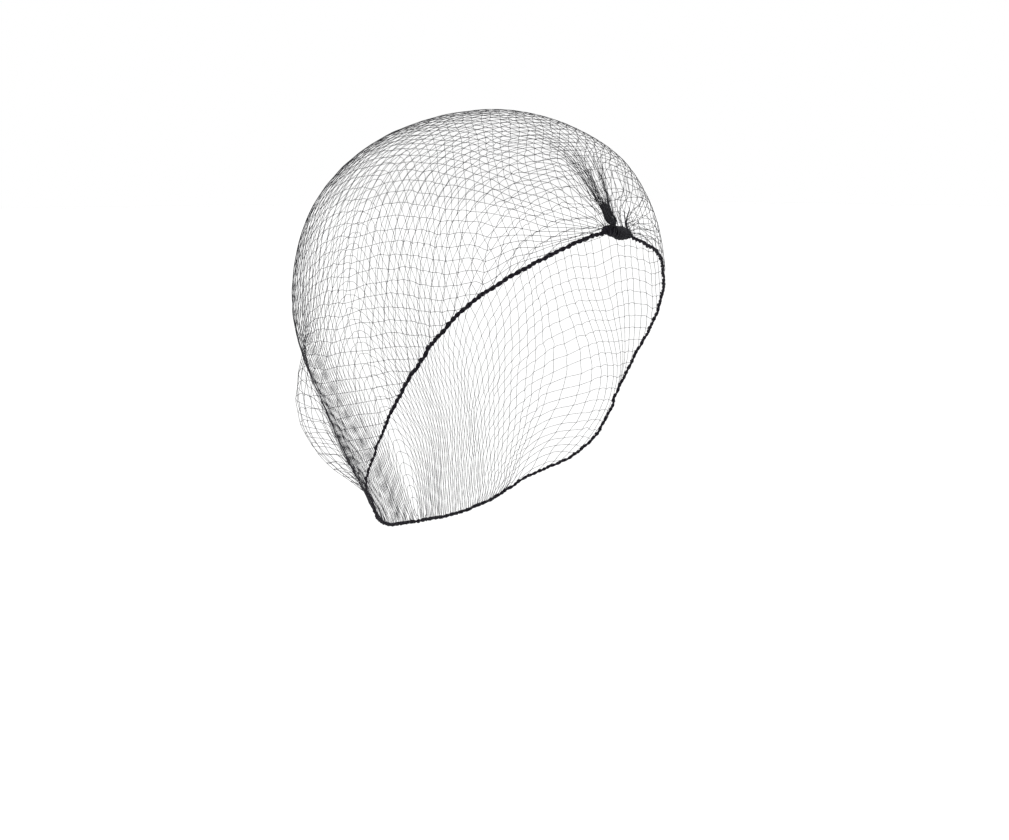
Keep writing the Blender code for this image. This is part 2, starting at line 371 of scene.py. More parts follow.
def resampled(curve):
    """A curve's part above the cord and a little more, as evenly spaced points."""
    past = np.argmax(beyond_rim(curve) > PAST_RIM)
    curve = curve[:past + 1] if past else curve
    lengths = run_along(curve)
    return at_length(curve, lengths, np.linspace(0, lengths[-1], len(SWEEP)))


def hanging_arc(row, share):
    """A crosswise thread low on the back: level at the middle line, and down at the rim."""
    start, end = polar_of(row_plane(row)[0])[0], polar_of(rim_foot(share))
    turn = np.linspace(0, math.pi / 2 * ARC_PAST, len(SWEEP))
    azimuth = 180.0 - (180.0 - end[1]) * np.sin(turn)
    polar = start + (end[0] - start) * (1 - np.cos(turn))
    return skin_towards(direction(azimuth, polar))


def crosswise_curve(row):
    """A crosswise thread's curve on the wearer's right, from the middle line down past the rim."""
    place, foot = row_plane(row)
    down = (foot - place) / max(np.linalg.norm(foot - place), 1e-6)
    centre = place + down * min(CENTRE_DEPTH, 0.5 * np.linalg.norm(foot - place))
    rays = np.outer(np.sin(SWEEP), [-1.0, 0.0, 0.0]) - np.outer(np.cos(SWEEP), down)

    def under_skin(reach):
        polar, azimuth, distance = polar_of(centre + rays * reach[:, None])
        return distance <= skin_radius(polar, azimuth)

    reach = leaves_at(under_skin, np.full(len(SWEEP), OUTSIDE), 26)
    curve = centre + rays * reach[:, None]
    share = -row * MESH_ALONG / back_lengths[-1]
    draped = float(np.interp(share, DRAPE_FROM, (0.0, 1.0)))
    if draped >= 1:
        curve = hanging_arc(row, share)
    elif draped > 0:
        curve = onto_skin(resampled(hanging_arc(row, share)) * draped + resampled(curve) * (1 - draped))
    lengths = run_along(curve)
    past = np.argmax(beyond_rim(curve) > 0)
    return curve, lengths, lengths[past] if past else lengths[-1]


even = np.zeros((len(rows), 2 * THREADS + 1, 3))
closeness = np.ones((len(rows), THREADS + 1))
for number, row in enumerate(rows):
    curve, lengths, end = crosswise_curve(row)
    spacing = in_table(SPACING, row_plane(row)[0][1] / MM) * MM
    crowding = CROWDING * np.interp(row, CROWD_ROWS, (CROWD_LEAST, 1.0))
    at = 0.0
    for thread in range(THREADS + 1):
        place = at_length(curve, lengths, min(at, end + 1.5 * spacing))
        even[number, THREADS + thread] = place
        even[number, THREADS - thread] = place * [-1.0, 1.0, 1.0]
        closeness[number, thread] = 1 - crowding * (1 - smooth(*CROWD_EDGE, at))
        at += spacing * closeness[number, thread]

# Each crosswise thread leans forward where the threads are crowded, as its meshes keep their sides
lean = LEAN * np.sqrt(1 - closeness**2)
ahead = np.cumsum(lean[:, ::-1], axis=1)[:, ::-1]
ahead = evened(np.concatenate([ahead[:, :0:-1], ahead], axis=1).T, 3).T
extra_rows = int(ahead[0].max()) + 2
rows = np.arange(rows[0] - extra_rows, rows[-1] + 1)
ahead = np.concatenate([np.repeat(ahead[:1], extra_rows, axis=0), ahead])
place_row = rows[:, None] + ahead
at_row = place_row - (rows[0] + extra_rows)
lower_row = np.clip(np.floor(at_row).astype(int), 0, len(even) - 2)
row_share = np.clip(at_row - lower_row, -1.5, 2.5)[..., None]  # past the ends, a little further on
columns = np.arange(2 * THREADS + 1)[None, :]
lattice = even[lower_row, columns] * (1 - row_share) + even[lower_row + 1, columns] * row_share
in_front = place_row >= 0
in_cloth = (at_row > -1) & (at_row < len(even))

# The gather: near the knot the threads leave their even spacing and run to it
GATHER_OFF_KNOT = np.array([-1.5, 0.0, 1.0]) * MM
gather_place = onto_skin((knot_low + knot_high) / 2 + GATHER_OFF_KNOT)
gather_way = unit(gather_place - MIDDLE)
gather_radius = np.linalg.norm(gather_place - MIDDLE)
gather_up = squared(np.array([0.0, 0.0, 1.0]), gather_way)
gather_right = np.cross(gather_way, gather_up)


def from_gather(distance, bearing, lift=0.0):
    """The skin's point at a distance and bearing about the gather."""
    distance, bearing = np.broadcast_arrays(distance, bearing)
    aside = turned(np.radians(bearing), gather_up, gather_right)
    return skin_towards(turned(distance / gather_radius, gather_way, aside), lift)


def eased(stations, values, at):
    """Values at stations, with an even ease from each station to the next."""
    result = values[0]
    for k in range(1, len(stations)):
        result = result + (values[k] - values[k - 1]) * smooth(stations[k - 1], stations[k], at)
    return result


# Each crossing's distance and bearing about the gather, along the skin
lattice = onto_skin(lattice)
way = unit(lattice - MIDDLE)
distance = np.arccos(np.clip(way @ gather_way, -1, 1)) * gather_radius
bearing = np.degrees(np.arctan2(way @ gather_right, way @ gather_up))
lift = np.zeros(distance.shape)
moved = np.zeros(distance.shape, dtype=bool)
stations = (*GATHER_NEAR, GATHER_FAR)
for thread in range(-TIED_THREADS, TIED_THREADS + 1):
    column = THREADS + thread
    front_rows = np.flatnonzero(in_front[:, column] & in_cloth[:, column])
    front_rows = front_rows[:np.argmin(distance[front_rows, column]) + 1]
    far, own = distance[front_rows, column][::-1], bearing[front_rows, column][::-1]
    wanted = [in_table(FAN, thread, column) for column in (3, 2, 1)]
    turns = [want - np.interp(at, far, own) for want, at in zip(wanted, stations)] + [0.0]
    off_neck = wanted[0] - in_table(NECK_TRACK, GATHER_NEAR[0] / MM)
    aside = GATHER_NEAR[0] * math.sin(math.radians(off_neck))
    fold = sum(rise * math.exp(-(((thread - at) / width) ** 2)) for at, width, rise in FOLD_RISES)
    for row in front_rows:
        d = distance[row, column]
        if d >= GATHER_FAR:
            continue
        moved[row, column] = True
        heading = bearing[row, column] + float(eased(stations, turns, d))
        if d < GATHER_NEAR[0]:
            heading = wanted[0]
            if NECK[0] <= thread <= NECK[1]:
                drawn_in = NECK_DRAWN + (1 - NECK_DRAWN) * float(smooth(6 * MM, GATHER_NEAR[0], d))
                share = min(NECK_WIDEST, max(-NECK_WIDEST, drawn_in * aside / max(d, 3 * MM)))
                heading = in_table(NECK_TRACK, d / MM) + math.degrees(math.asin(share))
        bearing[row, column] = heading
        lift[row, column] = FOLD_LIFT * fold * (1 - smooth(GATHER_NEAR[0], GATHER_NEAR[2], d))
lattice = np.where(moved[..., None], from_gather(distance, bearing, lift), lattice)


DRIFT_WAVES = 7


def drift(points, size, length):
    """A smooth random displacement of about the given size, over the given length."""
    total = np.zeros(points.shape)
    for _ in range(DRIFT_WAVES):
        wave = rng.normal(0, 1, 3)
        wave *= 2 * math.pi / length / np.linalg.norm(wave)
        phase = rng.uniform(0, 2 * math.pi)
        total += np.sin(points @ wave + phase)[..., None] * rng.normal(0, 1, 3)
    return total * size / math.sqrt(DRIFT_WAVES / 2)


# How unevenly the net lies. Each pair is a drift's size and its length.
SAG = (0.3 * MM, 34 * MM)
WANDER = (0.16 * MM, 13 * MM)
SHIFT = 0.14 * MM  # each crossing's own
# On the wearer's left of the neck it is crumpled too: where that starts and where it ends.
CRUMPLED_BEARINGS = ((-10.0, -22.0), (-88.0, -104.0))
CRUMPLED_REACH = ((6 * MM, 12 * MM), (30 * MM, 44 * MM))
CRUMPLE = (1.0 * MM, 12 * MM)
CRUMPLE_RISE = (0.7 * MM, 11 * MM)

height = np.linalg.norm(lattice - onto_skin(lattice), axis=-1)
crumpled = in_front.astype(float)
for (starts, ends), at in ((CRUMPLED_BEARINGS, bearing), (CRUMPLED_REACH, distance)):
    crumpled = crumpled * smooth(*starts, at) * (1 - smooth(*ends, at))
lattice = lattice + drift(lattice, *SAG) + drift(lattice, *WANDER)
lattice = lattice + drift(lattice, *CRUMPLE) * crumpled[..., None]
lattice = lattice + rng.normal(0, SHIFT, lattice.shape)
height = height + crumpled * np.abs(drift(lattice, *CRUMPLE_RISE)[..., 0])
lattice = onto_skin(lattice, height)

# Which crossings are on the net: above the cord, and not in the tied knot
EDGE_ROOM = 0.9  # degrees above the cord's line
KNOT_ROOM = 7.0 * MM  # round the gather
on_net = (beyond_rim(lattice) < -EDGE_ROOM) & in_cloth
on_net &= ~((distance < KNOT_ROOM) & in_front)
for column in range(2 * THREADS + 1):  # past the knot, nothing comes back onto the net
    last = np.argmin(np.where(in_front[:, column], distance[:, column], 1.0))
    if abs(column - THREADS) <= TIED_THREADS:
        on_net[last + 1:, column] = False
on_net[0] = on_net[-1] = False
normals = skin_normal(lattice)

# ---- threads, as paths


def through(start, end, leave, arrive, bow, points):
    """Paths from start to end that leave and arrive in given directions and bow out between."""
    u = np.linspace(0, 1, points)[None, :, None]
    start, end, leave, arrive, bow = (value[:, None, :] for value in (start, end, leave, arrive, bow))
    path = start * (2 * u**3 - 3 * u**2 + 1) + end * (3 * u**2 - 2 * u**3)
    path = path + leave * (u**3 - 2 * u**2 + u) + arrive * (u**3 - u**2)
    return path + bow * (4 * u * (1 - u))


BOW_OF_SLACK = 0.465  # an arc's depth, as a share of the root of thread**2 - chord**2
LOOSE = (1.2 * MM, 3.2 * MM)  # between crossings: loose under the first, tight past the second
TIGHT_BOW, LOOSE_BOW = 0.36, 0.5  # share of that depth, and what being loose adds to it
TIGHT_FLIPS, LOOSE_FLIPS = 0.1, 0.38  # share of the threads that bow up the skin, likewise
LOOSE_RISE = 0.45 * MM


def slack_bow(start, end, slack, normal):
    """How slack threads bow: down the skin, or where they are loose up it too, and off it."""
    chord = end - start
    length = np.linalg.norm(chord, axis=1)
    depth = BOW_OF_SLACK * np.sqrt(np.maximum(slack**2 - length**2, 0))
    loose = 1 - smooth(*LOOSE, length)
    depth = depth * (TIGHT_BOW + LOOSE_BOW * loose) * rng.uniform(0.6, 1.15, len(length))
    side = unit(np.cross(normal, chord))
    down = np.sign(side[:, 2])
    flipped = rng.random(len(length)) < LOOSE_FLIPS * loose + TIGHT_FLIPS
    side = side * np.where(flipped, -down, down)[:, None]
    raised = np.abs(rng.normal(0, LOOSE_RISE, len(length))) * loose
    return side * depth[:, None] + normal * raised[:, None], loose


def cord_azimuth(start, far):
    """The azimuths at which threads that leave the net cross the cord's line."""
    def place(share):
        return onto_skin(start + (far - start) * share[:, None])

    share = leaves_at(lambda half: beyond_rim(place(half)) < 0, np.ones(len(start)), 20)
    return polar_of(place(share))[1]


LOOSE_LEAST = 0.05  # looser than this, a thread needs LOOSE_POINTS to bend
TIGHT_POINTS, LOOSE_POINTS = 4, 8
ROWS_TO_KNOT = 5  # forward of the crown, from where threads end at the knot
tight_paths, loose_paths, edge_starts, edge_leaves, edge_azimuths, tied_runs = [], [], [], [], [], []
places = np.arange(-THREADS, THREADS + 1)
ALONG, ACROSS = (np.s_[:-1, :], np.s_[1:, :]), (np.s_[:, :-1], np.s_[:, 1:])
for axis, (first, second), slack in ((0, ALONG, SLACK_ALONG), (1, ACROSS, SLACK_ACROSS)):
    ahead = np.gradient(lattice, axis=axis)
    both = on_net[first] & on_net[second]
    start, end = lattice[first][both], lattice[second][both]
    bow, loose = slack_bow(start, end, slack, normals[first][both])
    leave, arrive = ahead[first][both], ahead[second][both]
    tight = loose < LOOSE_LEAST
    shapes = start, end, leave, arrive, bow
    tight_paths.append(through(*(shape[tight] for shape in shapes), TIGHT_POINTS))
    loose_paths.append(through(*(shape[~tight] for shape in shapes), LOOSE_POINTS))
    for here, there, sense in ((first, second, 1.0), (second, first, -1.0)):
        leaving = on_net[here] & ~on_net[there]
        in_knot = (distance[there] < KNOT_ROOM) & in_front[here]
        if axis == 0:
            in_knot |= (np.abs(places) <= TIED_THREADS)[None, :] & (place_row[here] > ROWS_TO_KNOT)
            for row, column in np.argwhere(leaving & in_knot):
                tied_runs.append((lattice[row, column], ahead[row, column], places[column]))
        cut = leaving & ~in_knot
        start, far = lattice[here][cut], lattice[there][cut]
        edge_starts.append(start)
        edge_leaves.append(ahead[here][cut] * sense)
        edge_azimuths.append(cord_azimuth(start, far))
edge_starts, edge_leaves = np.concatenate(edge_starts), np.concatenate(edge_leaves)
edge_azimuths = np.concatenate(edge_azimuths)

# ---- the elastic cord's line

PLY_RADIUS = 0.53 * MM  # each of the cord's two plies
PLY_LAY = 0.49 * MM  # how far a ply's middle lies from the cord's
CORD_PITCH = 5.8 * MM  # one turn of the plies round each other
CORD_STEPS = 1800
LUMP_REACH = 0.75  # degrees round the head, about a millimetre of cord
LUMP_HIGHEST = 1.6  # where several threads meet the cord together
LUMP_RISE = 0.14 * MM
LUMP_SWELL = 0.06  # of the cord's thickness
RIPPLE = (0.17 * MM, 6.0 * MM)
CORD_FACES = MIDDLE + [0.0, 0.0, 0.09]  # a point in the crown, towards which up is on the cord
cord_azimuths = np.linspace(-180, 180, CORD_STEPS, endpoint=False)
cord_line = round_head(rim_azimuths, rim_places, cord_azimuths)
cord_ahead = unit(np.roll(cord_line, -1, 0) - np.roll(cord_line, 1, 0))
cord_out = squared(cord_line - MIDDLE, cord_ahead)
cord_up = np.cross(cord_ahead, cord_out)
cord_up *= np.sign(((CORD_FACES - cord_line) * cord_up).sum(-1, keepdims=True))
lumps = np.zeros(CORD_STEPS)
for azimuth in edge_azimuths:
    gap = (cord_azimuths - azimuth + 180) % 360 - 180
    lumps += rng.uniform(0.5, 1.1) * np.exp(-((gap / LUMP_REACH) ** 2))
lumps = np.minimum(lumps, LUMP_HIGHEST)
ripple = drift(cord_line, *RIPPLE)
cord_line = cord_line + cord_up * ((lumps - lumps.mean()) * LUMP_RISE)[:, None] + ripple
cord_scale = in_table(CORD_WIDTH, cord_azimuths) * (1 + LUMP_SWELL * (lumps - lumps.mean()))

# The plies' turn round each other, unevenly
TURN_WAVES = 9
TURN_BEATS = (5, 60)  # waves to the whole cord
TURN_SIZE = 0.5  # radians, for 8 waves to the whole cord
cord_steps = np.linalg.norm(np.roll(cord_line, -1, 0) - cord_line, axis=1)
cord_lengths = np.concatenate([[0], np.cumsum(cord_steps)[:-1]])
cord_turn = 2 * math.pi * round(cord_steps.sum() / CORD_PITCH) * cord_lengths / cord_steps.sum()
for _ in range(TURN_WAVES):
    beat = rng.integers(*TURN_BEATS)
    size = rng.normal(0, TURN_SIZE) / math.sqrt(beat / 8)
    cord_turn += size * np.sin(np.radians(cord_azimuths) * beat + rng.uniform(0, TURN))

edge_centres, edge_up, edge_out, edge_along, edge_scale = (
    round_head(cord_azimuths, table, edge_azimuths)
    for table in (cord_line, cord_up, cord_out, cord_ahead, cord_scale)
)
edge_up, edge_out, edge_along = unit(edge_up), unit(edge_out), unit(edge_along)
edge_turn = np.unwrap(cord_turn)[np.searchsorted(cord_azimuths, edge_azimuths) % CORD_STEPS]

LOOP_SUNK = 0.6  # a loop's middle lies this share of its thread's radius off the plies
LOOP_TURNS = 1.3  # each thread's end goes once and a bit round the cord
LOOP_POINTS = 16
LOOP_STEP = 0.28 * MM  # along the cord in one turn


def cord_reach(angle):
    """How far the cord's two plies reach from its middle, in a direction round it from outward."""
    facing = np.abs(np.cos(angle - edge_turn[:, None]))
    return edge_scale[:, None] * (PLY_RADIUS + PLY_LAY * facing) + LOOP_SUNK * THREAD_RADIUS


edge_ends = edge_centres + edge_up * cord_reach(math.pi / 2)
edge_length = np.linalg.norm(edge_ends - edge_starts, axis=1, keepdims=True)
edge_leaves = unit(edge_leaves) * edge_length
edge_paths = through(edge_starts, edge_ends, edge_leaves, unit(edge_ends - edge_starts) * edge_length,
                     np.zeros_like(edge_starts), 4)

turn = np.linspace(0, 2 * math.pi * LOOP_TURNS, LOOP_POINTS)[None, :]
lean = rng.uniform(-0.5, 0.5, (len(edge_centres), 1)) * MM
reach = cord_reach(math.pi / 2 - turn)
aside = lean * np.sin(turn) + LOOP_STEP * turn / TURN
loop_paths = edge_centres[:, None] + edge_along[:, None] * aside[..., None]
loop_paths = loop_paths + edge_up[:, None] * (reach * np.cos(turn))[..., None]
loop_paths = loop_paths + edge_out[:, None] * (reach * np.sin(turn))[..., None]

# ---- the tied knot

KNOT_STATIONS = 33
# The knot's form along its length, from the wearer's left to the right.
# Columns: share_of_length, share of its mean reach, mm up from the CAD knot's middle
KNOT_SHAPE = (
    (0.0, 0.62, -1.1), (0.1, 0.82, -0.7), (0.2, 0.98, -0.4), (0.42, 1.16, -0.45),
    (0.6, 1.0, 0.25), (0.75, 0.97, 0.7), (0.9, 0.82, 0.9), (1.0, 0.64, 0.6),
)
KNOT_TRIM = 0.3  # degrees off each end of the CAD knot
KNOT_WINDOW = 0.55  # degrees to each side of a station
knot_azimuths = polar_of(knot_points)[1]
knot_span = np.linspace(knot_azimuths.min() + KNOT_TRIM, knot_azimuths.max() - KNOT_TRIM, KNOT_STATIONS)
knot_core, knot_reach = [], []
for azimuth in knot_span:
    close = knot_points[np.abs(knot_azimuths - azimuth) < KNOT_WINDOW]
    if len(close) < 4:  # too few to go by
        close = knot_points[np.argsort(np.abs(knot_azimuths - azimuth))[:12]]
    centre = (close.min(0) + close.max(0)) / 2
    knot_core.append(centre)
    knot_reach.append(np.percentile(np.linalg.norm(close - centre, axis=1), 75))
knot_core, knot_reach = evened(np.array(knot_core), 40), np.array(knot_reach)
knot_shares = np.linspace(0, 1, KNOT_STATIONS)
knot_reach = knot_reach.mean() * in_table(KNOT_SHAPE, knot_shares)
knot_core[:, 2] += in_table(KNOT_SHAPE, knot_shares, 2) * MM
knot_ahead = unit(np.gradient(knot_core, axis=0))
knot_out = squared(knot_core - MIDDLE, knot_ahead)
knot_up = unit(np.cross(knot_out, knot_ahead))
knot_up *= np.sign(knot_up[:, 2:])


def round_knot(share, turn, reach):
    """Points round the knot's core: share of its length, turn round it and distance from it."""
    at = np.asarray(share) * (KNOT_STATIONS - 1)
    ticks = np.arange(KNOT_STATIONS)
    core, out, up = (at_length(table, ticks, at) for table in (knot_core, knot_out, knot_up))
    reach = np.interp(at, ticks, knot_reach) * np.asarray(reach)
    return core + turned(turn, out, up) * reach[..., None]


def wound(first, last, turns, phase, reach, points, wobble=0.1):
    """A strand wound round the knot from one share of its length to another."""
    u = np.linspace(0, 1, points)
    uneven = np.sin(2 * math.pi * (u * 2.3 + rng.random())) * 0.25
    turn = phase + 2 * math.pi * turns * u + uneven
    share = first + (last - first) * u + 0.02 * np.sin(turn * 1.7)
    far = reach * (1 + wobble * np.sin(turn * 0.8 + phase) + wobble * 0.5 * np.sin(turn * 2.3))
    return round_knot(np.clip(share, 0, 1), turn, far)


# Strands of the cord in the knot.
# Columns: first_share, last_share, turns, phase, reach_share, radius_mm
STRANDS = (
    (0.00, 1.00, 2.2, 0.4, 0.30, 0.92),
    (1.00, 0.00, 1.7, 2.4, 0.42, 0.88),
    (0.06, 0.60, 2.6, 1.2, 0.66, 0.72),
    (0.30, 0.66, 2.3, 3.6, 0.72, 0.66),
    (0.50, 0.98, 2.8, 5.0, 0.62, 0.72),
    (0.12, 0.86, 2.1, 5.8, 0.68, 0.60),
    (0.02, 0.36, 1.8, 2.2, 0.66, 0.60),
    (0.62, 1.00, 2.0, 0.9, 0.60, 0.62),
)
STRAND_POINTS = 72
strand_paths = [
    (wound(first, last, turns, phase, reach, STRAND_POINTS), radius * MM)
    for first, last, turns, phase, reach, radius in STRANDS
]
WRAPS = 26  # thin threads pulled tight round the knot
WRAP_STARTS, WRAP_SPANS = (0.04, 0.8), (0.05, 0.2)  # shares of the knot's length
WRAP_TURNS = (1.1, 2.4)
WRAP_REACHES = (0.96, 1.08)  # shares of the knot's own reach
WRAP_WOBBLE = 0.06
WRAP_POINTS = 34
WRAP_RADIUS = 0.13 * MM
wrap_paths = []
for _ in range(WRAPS):
    first = rng.uniform(*WRAP_STARTS)
    last = first + rng.uniform(*WRAP_SPANS)
    turns, phase, reach = rng.uniform(*WRAP_TURNS), rng.uniform(0, TURN), rng.uniform(*WRAP_REACHES)
    wrap_paths.append(wound(first, last, turns, phase, reach, WRAP_POINTS, WRAP_WOBBLE))

# The tied threads: each runs on from its last crossing and into the knot.
# Columns: thread, share of the knot's length from the wearer's left to right
TIE_SHARES = ((-20, 0.02), (-15, 0.12), (-7, 0.40), (-5, 0.52), (12, 0.92), (15, 0.94), (20, 0.99))
TIE_SCATTER = 0.02
TIE_TURNS = (0.3, 1.3)  # radians up from outward, where they go in
TIE_DEPTH = 0.7  # share of the knot's reach
TIE_DIP = 0.25  # they come in downward by this share of their length
TIE_BEND = 0.22 * MM
tied_paths = []
for start, leave, thread in tied_runs:
    share = in_table(TIE_SHARES, thread) + rng.normal(0, TIE_SCATTER)
    end = round_knot(share, rng.uniform(*TIE_TURNS), TIE_DEPTH)
    gap = np.linalg.norm(end - start)
    arrive = unit(end - start) * gap - knot_up[KNOT_STATIONS // 2] * gap * TIE_DIP
    bend = rng.normal(0, TIE_BEND, 3)
    run = np.array((start, end, unit(leave) * gap, arrive, bend))[:, None]
    tied_paths.append(through(*run, LOOSE_POINTS)[0])

# Threads pulled along the folds and down the neck into the knot: three folds that stand out, and the
# slack between them.
# Columns: strands, farthest_mm, and the shares of the knot's length between which they go into it
FOLDS = (
    (11, 40.0, 0.60, 0.68),
    (11, 46.0, 0.66, 0.80),
    (11, 52.0, 0.74, 0.92),
    (7, 50.0, 0.60, 0.74),
    (9, 54.0, 0.68, 0.90),
)
TRACK_MM = (2.4, 5.0, 8.0, 10.0, 15.0, 20.0, 30.0, 40.0, 56.0)
# A row for each fold: its bearings, at the distances from the gather in TRACK_MM
FOLD_TRACKS = (
    (44, 36, 24, 16, 0, -4, -8, -9, -9),
    (72, 52, 34, 28, 21, 17, 9, 5, 3),
    (90, 62, 41, 35, 29, 25, 20, 18, 16),
    (68, 46, 29, 20, 5, 1, 0, -1, -2),
    (84, 57, 38, 32, 26, 21, 19, 17, 16),
)
SPREAD_MM = (2.4, 10.0, 20.0, 40.0, 56.0)
# A row for each fold: how wide it is in mm, at the distances in SPREAD_MM
FOLD_SPREADS = (
    (0.5, 0.7, 0.9, 2.2, 3.6),
    (0.9, 0.9, 1.5, 4.2, 7.0),
    (0.8, 0.8, 1.7, 4.4, 7.0),
    (0.9, 1.5, 3.8, 6.5, 8.0),
    (1.0, 1.3, 3.6, 7.5, 10.0),
)
FOLD_POINTS = 30
FOLD_STRAND_RADIUS = 0.065 * MM
NECK_STRAND_RADIUS = 0.2 * MM  # in the neck, where each strand is several threads
NECK_ENDS = (7.0, 12.5)  # mm from the gather, over which the strands thin out
SHORTEST = 0.25  # share of a fold's length that its shortest strand has
LANE_SCATTER, LANE_MOST = 0.55, 1.2  # how far a strand lies off its fold's middle, in fold widths
STRAY = 0.5  # of the fold's width, 60 mm off
WAVER, WAVER_RATES = 0.14, (0.35, 0.8)  # mm aside, and radians in a mm
STRAND_LIFT = 0.3  # mm off the skin
STRAND_RISE = 2.0  # mm more at the knot
RISE_HOLDS, RISE_FADES = 5.0, 8.0  # mm: how far off that holds, and over what it fades
neck_paths, fold_radii = [], []
for (strands, farthest, first, last), track, spreads in zip(FOLDS, FOLD_TRACKS, FOLD_SPREADS):
    for _ in range(strands):
        lane = np.clip(rng.normal(0, LANE_SCATTER), -LANE_MOST, LANE_MOST)
        far_end = (SHORTEST + (1 - SHORTEST) * rng.uniform(0, 1) ** 1.6) * farthest
        at = TRACK_MM[0] + (far_end - TRACK_MM[0]) * np.linspace(0, 1, FOLD_POINTS) ** 1.3
        spread = np.interp(at, SPREAD_MM, spreads) * (lane + at / 60 * rng.normal(0, STRAY))
        spread = spread + WAVER * np.sin(at * rng.uniform(*WAVER_RATES) + rng.uniform(0, TURN))
        aside = np.degrees(np.arctan2(spread, np.maximum(at, 2.5)))
        fade = np.exp(-((np.maximum(at - RISE_HOLDS, 0) / RISE_FADES) ** 2))
        height = STRAND_LIFT + rng.uniform(0, STRAND_RISE) * fade
        path = from_gather(at * MM, np.interp(at, TRACK_MM, track) + aside, height * MM)
        share = first + (last - first) * (lane / LANE_MOST / 2 + 0.5)
        path[0] = round_knot(share, rng.uniform(0.6, 2.2), 0.55)
        between = (path[0] + path[2]) / 2
        path[1] = between + (path[1] - between) * 0.3
        neck_paths.append(path)
        thick = 1 - smooth(*NECK_ENDS, at)
        fold_radii.append(FOLD_STRAND_RADIUS + (NECK_STRAND_RADIUS - FOLD_STRAND_RADIUS) * thick)

# The tied ends, left standing beside the knot on the wearer's left.
# Columns: distances_mm, bearings, radius_mm
TAILS = (
    ((6.5, 7.5, 9.0, 12.0, 17.5), (-84, -70, -62, -57, -51), 0.30),
    ((6.5, 7.8, 9.5, 12.0, 14.5), (-88, -72, -66, -65, -68), 0.20),
    ((6.0, 7.2, 8.6, 10.5, 13.0), (-80, -66, -58, -50, -44), 0.16),
)
TAIL_POINTS = 24
tail_u = np.linspace(0, 1, TAIL_POINTS)
tails = []
for distances, bearings, radius in TAILS:
    at = np.interp(tail_u * 4, range(5), distances)
    path = from_gather(at * MM, np.interp(tail_u * 4, range(5), bearings), (1.3 - 0.7 * tail_u) * MM)
    path = evened(path, 4)
    root = round_knot(0.08, 1.3, 0.4)
    path[:4] = root + (path[4] - root) * np.linspace(0, 1, 5)[:4, None]
    tails.append((path, radius * MM * (1 - 0.65 * tail_u**1.4)))

# ---- from paths to meshes


THREAD_SIDES = 5


def tube(paths, radius=THREAD_RADIUS, sides=THREAD_SIDES, about=MIDDLE, closed=False):
    """Tubes along paths: points, four-sided faces, and for each corner metres along and turns round."""
    paths = np.reshape(paths, (-1, *np.shape(paths)[-2:]))
    count, steps = paths.shape[:2]
    ahead = np.roll(paths, -1, 1) - np.roll(paths, 1, 1) if closed else np.gradient(paths, axis=1)
    ahead = unit(ahead)
    out = squared(paths - about, ahead)
    aside = np.cross(ahead, out)
    turn = np.arange(sides) * 2 * math.pi / sides
    radius = np.broadcast_to(radius, (count, steps))
    ring = turned(turn, out[:, :, None], aside[:, :, None])
    points = paths[:, :, None] + ring * radius[:, :, None, None]
    spans = steps if closed else steps - 1
    k, s = np.arange(spans)[:, None], np.arange(sides)[None, :]
    row, next_row, next_s = k * sides, (k + 1) % steps * sides, (s + 1) % sides
    quad = np.stack([row + s, next_row + s, next_row + next_s, row + next_s], axis=-1)
    faces = (np.arange(count) * steps * sides)[:, None, None, None] + quad[None]
    lengths = np.linalg.norm(np.roll(paths, -1, 1) - paths, axis=2)
    run = np.concatenate([np.zeros((count, 1)), np.cumsum(lengths, axis=1)], axis=1)
    here, there = run[:, :spans, None], run[:, 1:spans + 1, None]
    low, high = s / sides, (s + 1) / sides
    corners = (here, low), (there, low), (there, high), (here, high)
    uvs = np.stack([np.stack(np.broadcast_arrays(*corner), axis=-1) for corner in corners], axis=3)
    return points.reshape(-1, 3), faces.reshape(-1, 4), uvs.reshape(-1, 2)


def mesh_piece(name, parts, material, slot):
    """One smooth-shaded object from tubes, riding on the body and taking the material's finish; the
    slot is not used.
    """
    points, uvs = (np.concatenate([part[k] for part in parts]) for k in (0, 2))
    starts = np.cumsum([0] + [len(part[0]) for part in parts])
    faces = np.concatenate([part[1] + start for part, start in zip(parts, starts)])
    mesh = bpy.data.meshes.new(name)
    mesh.vertices.add(len(points))
    mesh.vertices.foreach_set("co", points.ravel())
    mesh.loops.add(faces.size)
    mesh.loops.foreach_set("vertex_index", faces.ravel())
    mesh.polygons.add(len(faces))
    mesh.polygons.foreach_set("loop_start", np.arange(0, faces.size, 4))
    mesh.polygons.foreach_set("loop_total", np.full(len(faces), 4))
    mesh.uv_layers.new(name="UVMap").uv.foreach_set("vector", uvs.ravel())
    mesh.update(calc_edges=True)
    mesh.validate()
    mesh.shade_smooth()
    mesh.materials.append(material)
    piece = bpy.data.objects.new(name, mesh)
    bpy.context.collection.objects.link(piece)
    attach(piece, "root")
    return piece


def cap_end(path, radii, sides):
    """A tube whose two ends round off in two short steps."""
    ahead = unit(path[1] - path[0])
    behind = unit(path[-2] - path[-1])
    first = [path[0] - ahead * radii[0] * k for k in (0.55, 0.35)]
    last = [path[-1] - behind * radii[-1] * k for k in (0.35, 0.55)]
    path = np.concatenate([first, path, last])
    radii = np.concatenate([radii[:1] * [0.05, 0.7], radii, radii[-1:] * [0.7, 0.05]])
    return tube(path, radii, sides, about=path.mean(0) + np.array([0, 0.02, -0.004]))


# ---- materials


def link(tree, a, out, b, into):
    """Link one node's output to another's input."""
    tree.links.new(a.outputs[out], b.inputs[into])


def shader_node(tree, kind, **values):
    """A new shader node with values for its inputs; a _ in an input's name stands for a space."""
    node = tree.nodes.new("ShaderNode" + kind)
    for name, value in values.items():
        node.inputs[name.replace("_", " ")].default_value = value
    return node


